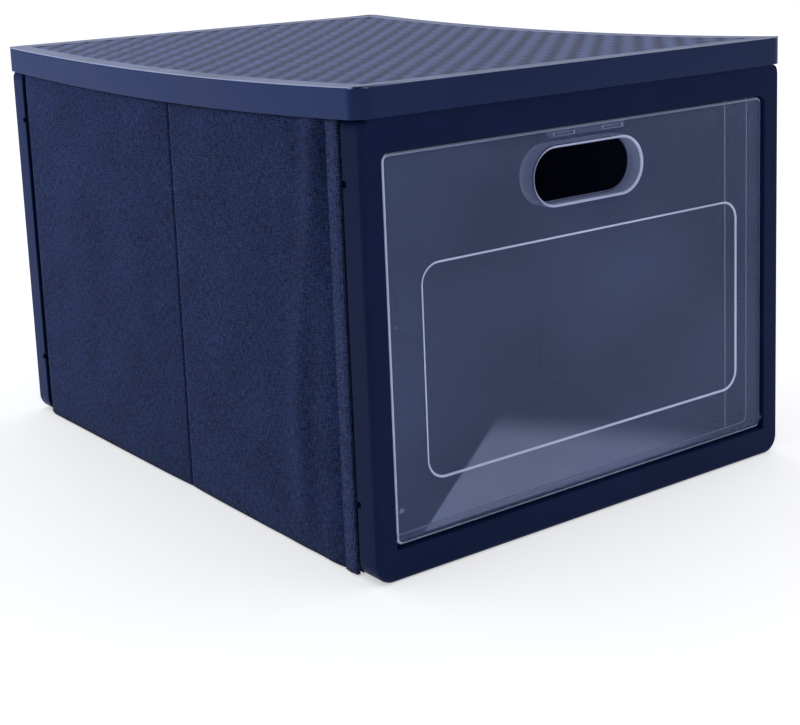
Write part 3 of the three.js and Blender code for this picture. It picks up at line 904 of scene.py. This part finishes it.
def make_binding(side, low, high):
    """A folded strip with soft edges, and a row of stitches along each edge."""
    rows = steps(low.y, high.y, BINDING_STEPS[0])
    columns = steps(low.z, high.z, BINDING_STEPS[1])
    quarter = (high.y - low.y) / 4

    def outside(y, z):
        edge = min(y - low.y, high.y - y)
        seam = math.exp(-(((edge - BINDING_EDGE) / SEAM_SPREAD) ** 2))
        puff = BINDING_PUFF * eased(edge / BINDING_ROUNDING) - SEAM_DIP * seam
        wobble = BINDING_WOBBLE * unevenness(y, z, BINDING_NOISE) * eased(edge / quarter)
        return Vector((high.x - CLOTH - puff - wobble, y, z))

    binding = cloth_slab(f"{side}_edge", rows, columns, outside, TO_ROOM, binding_cloth)
    length, thick, proud = STITCH_SIZE
    points, faces = [], []
    for y in (low.y + BINDING_EDGE, high.y - BINDING_EDGE):
        for z in steps(low.z + STITCH_MARGIN, high.z - STITCH_MARGIN, STITCH_PITCH):
            x = outside(y, z).x
            add_stitch(points, faces, Vector((x, y, z)), (proud, thick, length))
    stitches = add_piece(f"{side}_stitches", points, faces, [thread], [(p.y, p.z) for p in points])
    return binding, stitches


def add_stitch(points, faces, middle, size):
    """Adds one raised stitch: a long rounded lozenge, closed all round."""
    sides, rings = STITCH_SIDES, STITCH_SWELL
    base = len(points)
    long_axis = max(range(3), key=lambda axis: size[axis])
    short = [axis for axis in range(3) if axis != long_axis]
    for n, swell in enumerate(rings):
        for k in range(sides):
            turn = 2 * math.pi * k / sides
            point = middle.copy()
            point[long_axis] += size[long_axis] * (n / (len(rings) - 1) - 0.5)
            point[short[0]] += size[short[0]] / 2 * swell * math.cos(turn)
            point[short[1]] += size[short[1]] / 2 * swell * math.sin(turn)
            points.append(point)
    for n in range(len(rings) - 1):
        for k in range(sides):
            here, there = base + n * sides + k, base + n * sides + (k + 1) % sides
            faces.append((here, there, there + sides, here + sides))
    faces.append(tuple(base + k for k in reversed(range(sides))))
    last = base + (len(rings) - 1) * sides
    faces.append(tuple(last + k for k in range(sides)))


def lining_place(x):
    """The room side of a lining, hardly uneven."""

    def place(y, z):
        return Vector((x - LINING_UNEVENNESS * unevenness(y, z, LINING_NOISE), y, z))

    return place


def flat_lining(name, node):
    low, high = box_of(node)
    rows = steps(low.y, high.y, CLOTH_STEP * 2)
    columns = steps(low.z, high.z, CLOTH_STEP * 2)
    return cloth_slab(name, rows, columns, lining_place(high.x), -TO_ROOM, lining_cloth)


def joined_wall():
    """The left rear half and its stile in one cloth, with finer rows where it crosses the rear hinge.
    """
    pivot = joint_place("fold")
    bend_low, bend_high = pivot.y - HINGE_BEND, pivot.y + HINGE_BEND
    for layer, name, slot in (
        ("fabric", "left_rear_cloth", "navy_fabric"),
        ("lining", "left_rear_inner", "lining_fabric"),
    ):
        low = box_of(f"left_rear_{layer}")[0]
        high = box_of(f"left_rear_stile_{layer}")[1]
        rows = steps(low.y, bend_low, CLOTH_STEP)
        rows += steps(bend_low, bend_high, HINGE_STEP)[1:]
        rows += steps(bend_high, high.y, CLOTH_STEP / 2)[1:]
        columns = steps(low.z, high.z, CLOTH_STEP * 2)

        def outside(y, z):
            out = wall_swell(y, z, low.y, high.y, SWELL_RISES["joined"], crease=low.y)
            return Vector((low.x - out, y, z))

        if layer == "fabric":
            piece = cloth_slab(name, rows, columns, outside, TO_ROOM, wall_cloth)
        else:
            piece = cloth_slab(name, rows, columns, lining_place(high.x), -TO_ROOM, lining_cloth)
        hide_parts(f"left_rear_{layer}", f"left_rear_stile_{layer}")
        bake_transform(piece)
        size = (high.y - low.y, high.z - low.z)
        declare_cloth(piece, slot, *size, ["left_rear_board", "left_rear_stile_board"])


def split_wall():
    """The right front half and its stile, which no joint of the model joins.

    Both are drawn on the left. The stile's cloth laps over the open pivot between them.
    """
    for source, side, body, lap in (
        ("left_rear", "right_front", "right_front_wall", 0),
        ("left_rear_stile", "right_front_stile", "front_frame", PIVOT_LAP),
    ):
        low, high = box_of(f"{source}_fabric")
        columns = steps(low.z, high.z, CLOTH_STEP * 2)
        rows = steps(low.y, high.y, CLOTH_STEP / 1.5)
        if lap:
            rows.insert(0, low.y - lap)

        def outside(y, z):
            crease = None if lap else low.y
            out = wall_swell(y, z, low.y, high.y, SWELL_RISES[side], crease)
            if lap:
                out = max(out, LAP_RISE * eased((low.y + lap - y) / LAP_SLOPE))
            return Vector((low.x - out, y, z))

        cloth = cloth_slab(f"{side}_cloth", rows, columns, outside, TO_ROOM, wall_cloth)
        lining = flat_lining(f"{side}_inner", f"{source}_lining")
        size = (high.y - low.y, high.z - low.z)
        for piece, layer, slot in (
            (cloth, "fabric", "navy_fabric"),
            (lining, "lining", "lining_fabric"),
        ):
            half_turn(piece)
            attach(piece, body)
            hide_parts(f"{side}_{layer}")
            declare_cloth(piece, slot, *size, [f"{side}_board"])


def make_rear_panel():
    """The cloth on both faces of the board in the rear frame."""
    for layer, name, slot, material, outward in (
        ("fabric", "rear_cloth", "navy_fabric", wall_cloth, 1),
        ("lining", "rear_inner", "lining_fabric", lining_cloth, -1),
    ):
        low, high = box_of(f"rear_{layer}")
        face = high.y if outward > 0 else low.y
        heights = steps(0, PANEL_CORNER, PANEL_CORNER / 4)
        columns = [low.z + h for h in heights]
        columns += steps(low.z + PANEL_CORNER, high.z - PANEL_CORNER, CLOTH_STEP * 2)[1:]
        columns += [high.z - h for h in reversed(heights[:-1])]
        rows = steps(-1, 1, PANEL_STEP)

        def place(across, z):
            near_edge = min(z - low.z, high.z - z)
            short = max(PANEL_CORNER - near_edge, 0)
            cut = PANEL_CORNER - math.sqrt(max(PANEL_CORNER**2 - short**2, 0))
            x = across * (high.x - cut)
            edge = min(high.x - abs(x), near_edge)
            full = PANEL_SWELL + PANEL_UNEVENNESS * unevenness(x, z, PANEL_NOISE)
            return Vector((x, face + outward * full * eased(edge / PANEL_RISE), z))

        piece = cloth_slab(name, rows, columns, place, Vector((0, -outward, 0)), material)
        set_flat_uvs(piece, high.x)
        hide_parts(f"rear_{layer}")
        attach(piece, "rear_frame")
        declare_cloth(piece, slot, high.x - low.x, high.z - low.z, ["rear_board"])


def set_flat_uvs(piece, half):
    """Scales UVs that run from -1 to 1 across a piece to metres."""
    for item in piece.data.uv_layers[0].data:
        item.uv.x *= half


def make_floor():
    """The two cloth pockets of the floor, with soft edges and a seam all round."""
    for node, body in (("floor_rear_cover", "floor_rear"), ("floor_front_cover", "floor_front")):
        low, high = box_of(node)
        half = (high.z - low.z) / 2
        middle = (high.z + low.z) / 2
        edge_steps = [half * share for share in PAD_EDGE_SHARES]

        def lines(start, end):
            inside = steps(start + half, end - half, CLOTH_STEP)[1:-1]
            near = [start + e for e in edge_steps]
            return near + inside + [end - e for e in reversed(edge_steps)]

        def height(x, y):
            edge = min(x - low.x, high.x - x, y - low.y, high.y - y)
            short = max(half - edge, 0) / half
            crown = half * math.sqrt(max(1 - short**2, 0))
            return crown - PAD_SEAM_DIP * math.exp(-(((edge - PAD_SEAM) / PAD_SEAM_SPREAD) ** 2))

        rows, columns = lines(low.x, high.x), lines(low.y, high.y)
        piece = floor_pocket(node + "_pad", rows, columns, height, middle)
        points, faces = [], []
        inset = PAD_SEAM + PAD_STITCH_MARGIN
        length, thick, proud = PAD_STITCH
        for y in (low.y + PAD_SEAM, high.y - PAD_SEAM):
            for x in steps(low.x + inset, high.x - inset, PAD_STITCH_PITCH):
                top = Vector((x, y, middle + height(x, y)))
                add_stitch(points, faces, top, (length, thick, proud))
        for x in (low.x + PAD_SEAM, high.x - PAD_SEAM):
            for y in steps(low.y + inset, high.y - inset, PAD_STITCH_PITCH):
                top = Vector((x, y, middle + height(x, y)))
                add_stitch(points, faces, top, (thick, length, proud))
        seam = add_piece(node + "_seam", points, faces, [thread], [(p.x, p.y) for p in points])
        for made in (piece, seam):
            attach(made, body)
        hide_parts(node)
        size = (high.x - low.x, high.y - low.y)
        boards = [node.replace("cover", "board")]
        declare_cloth(piece, "lining_fabric", *size, boards, [seam])


def floor_pocket(name, rows, columns, height, middle):
    """A closed pocket, alike above and below its middle."""
    points, uvs, faces = [], [], []
    for up in (1, -1):
        for x in rows:
            for y in columns:
                points.append(Vector((x, y, middle + up * height(x, y))))
                uvs.append((x, y))
    wide, tall = len(columns), len(rows)
    far = wide * tall
    for row in range(tall - 1):
        for n in range(wide - 1):
            at = row * wide + n
            faces.append((at, at + wide, at + 1 + wide, at + 1))
            faces.append((far + at, far + at + 1, far + at + 1 + wide, far + at + wide))
    piece = add_piece(name, points, faces, [lining_cloth], uvs)
    shape = bmesh.new()
    shape.from_mesh(piece.data)
    bmesh.ops.remove_doubles(shape, verts=shape.verts, dist=PAD_WELD)
    bmesh.ops.recalc_face_normals(shape, faces=shape.faces)
    shape.to_mesh(piece.data)
    shape.free()
    piece.data.shade_smooth()
    return piece


def finish_boards():
    """The boards and clamp strips keep their CAD shape, with softened edges and a finish."""
    for name, node in frame["nodes"].items():
        if not name.endswith(("_board", "_strip")):
            continue
        node.data.materials.clear()
        node.data.materials.append(board)
        soften_edges(node, BOARD_SOFTENING)


# ---------------------------------------------------------------- stage


def add_light(name, kind, energy, **settings):
    light = bpy.data.lights.new(name, kind)
    light.energy = energy
    for key, value in settings.items():
        setattr(light, key, value)
    return add_object(name, light)


def aim(light, place, target):
    light.location = place
    towards = Vector(target) - Vector(place)
    light.rotation_euler = towards.to_track_quat("-Z", "Y").to_euler()


def light_group(name, pieces):
    group = bpy.data.collections.new(name)
    for piece in pieces:
        group.objects.link(piece)
    return group


def make_world():
    """White behind the bin, and a dimmer, cooler sky for its light."""
    scene = bpy.context.scene
    scene.view_settings.view_transform = "Standard"
    world = bpy.data.worlds.new("studio")
    scene.world = world
    world.use_nodes = True
    tree = world.node_tree
    backdrop = tree.nodes["Background"]
    backdrop.inputs["Color"].default_value = (1, 1, 1, 1)
    backdrop.inputs["Strength"].default_value = 1.0
    dim = wire(tree, "ShaderNodeBackground", {"Color": WORLD_TINT, "Strength": WORLD_STRENGTH})
    path = wire(tree, "ShaderNodeLightPath")
    mix = wire(tree, "ShaderNodeMixShader", {0: path.outputs["Is Camera Ray"]})
    tree.links.new(dim.outputs[0], mix.inputs[1])
    tree.links.new(backdrop.outputs[0], mix.inputs[2])
    tree.links.new(mix.outputs[0], tree.nodes["World Output"].inputs["Surface"])


def make_studio_floor():
    material, _, shader = start_material("floor", Roughness=0.9, Specular_IOR_Level=0.1)
    shader.inputs["Base Color"].default_value = FLOOR_GREY
    shader.inputs["Emission Color"].default_value = (1, 1, 1, 1)
    shader.inputs["Emission Strength"].default_value = FLOOR_GLOW
    corners = [(x * FLOOR_REACH, y * FLOOR_REACH, 0) for x, y in ((-1, -1), (1, -1), (1, 1), (-1, 1))]
    floor = add_piece("studio_floor", corners, [(0, 1, 2, 3)], [material])
    floor.location.z = -FLOOR_DROP
    floor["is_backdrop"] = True


def make_lights():
    overhead = add_light("overhead", "SUN", OVERHEAD_POWER, angle=OVERHEAD_ANGLE)
    overhead.rotation_euler = Vector(OVERHEAD_TOWARDS).to_track_quat("Z", "Y").to_euler()

    # the key light grazes the left wall, the lid and the rear frame, and nothing else
    lit = [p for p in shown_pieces() if p.name.startswith(("lid_", "left_", "rear_frame"))]
    key = add_light("key", "AREA", KEY_POWER, shape="RECTANGLE", size=KEY_SIZE, size_y=KEY_SIZE)
    aim(key, KEY_PLACE, KEY_TARGET)
    key.visible_glossy = False
    key.light_linking.receiver_collection = light_group("lit_cloth_and_lid", lit)

    # a spotlight from the front left falls through the door onto the floor cloth
    pads = [bpy.data.objects[f"floor_{half}_cover_pad"] for half in ("front", "rear")]
    see_through = ("front_door", "latch", "hinge")
    solid = [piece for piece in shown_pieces() if not piece.name.startswith(see_through)]
    beam = add_light(
        "beam",
        "SPOT",
        BEAM_POWER,
        color=BEAM_COLOUR,
        spot_size=BEAM_CONE,
        spot_blend=BEAM_BLEND,
        shadow_soft_size=BEAM_RADIUS,
    )
    aim(beam, BEAM_PLACE, BEAM_TARGET)
    beam.light_linking.receiver_collection = light_group("lit_floor", pads)
    beam.light_linking.blocker_collection = light_group("beam_blockers", solid)


def make_camera():
    data = bpy.data.cameras.new("camera")
    data.lens = CAMERA_LENS
    data.shift_x, data.shift_y = CAMERA_SHIFT
    data.clip_end = FAR_CLIP
    camera = add_object("camera", data)
    right, up = Vector(CAMERA_RIGHT), Vector(CAMERA_UP)
    turn = Matrix((right, up, right.cross(up))).transposed()
    camera.matrix_world = Matrix.Translation(CAMERA_PLACE) @ turn.to_4x4()
    bpy.context.scene.camera = camera


make_camera()
make_frames()
make_door()
make_lid()
bound_wall("left_front", "left_front_wall", turned=False)
bound_wall("right_rear", "right_rear_wall", turned=True)
joined_wall()
split_wall()
make_rear_panel()
make_floor()
finish_boards()
make_world()
make_studio_floor()
make_lights()

corners = {"cad": cad_box, "visual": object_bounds()}
{name: [list(c) for c in pair] for name, pair in corners.items()}
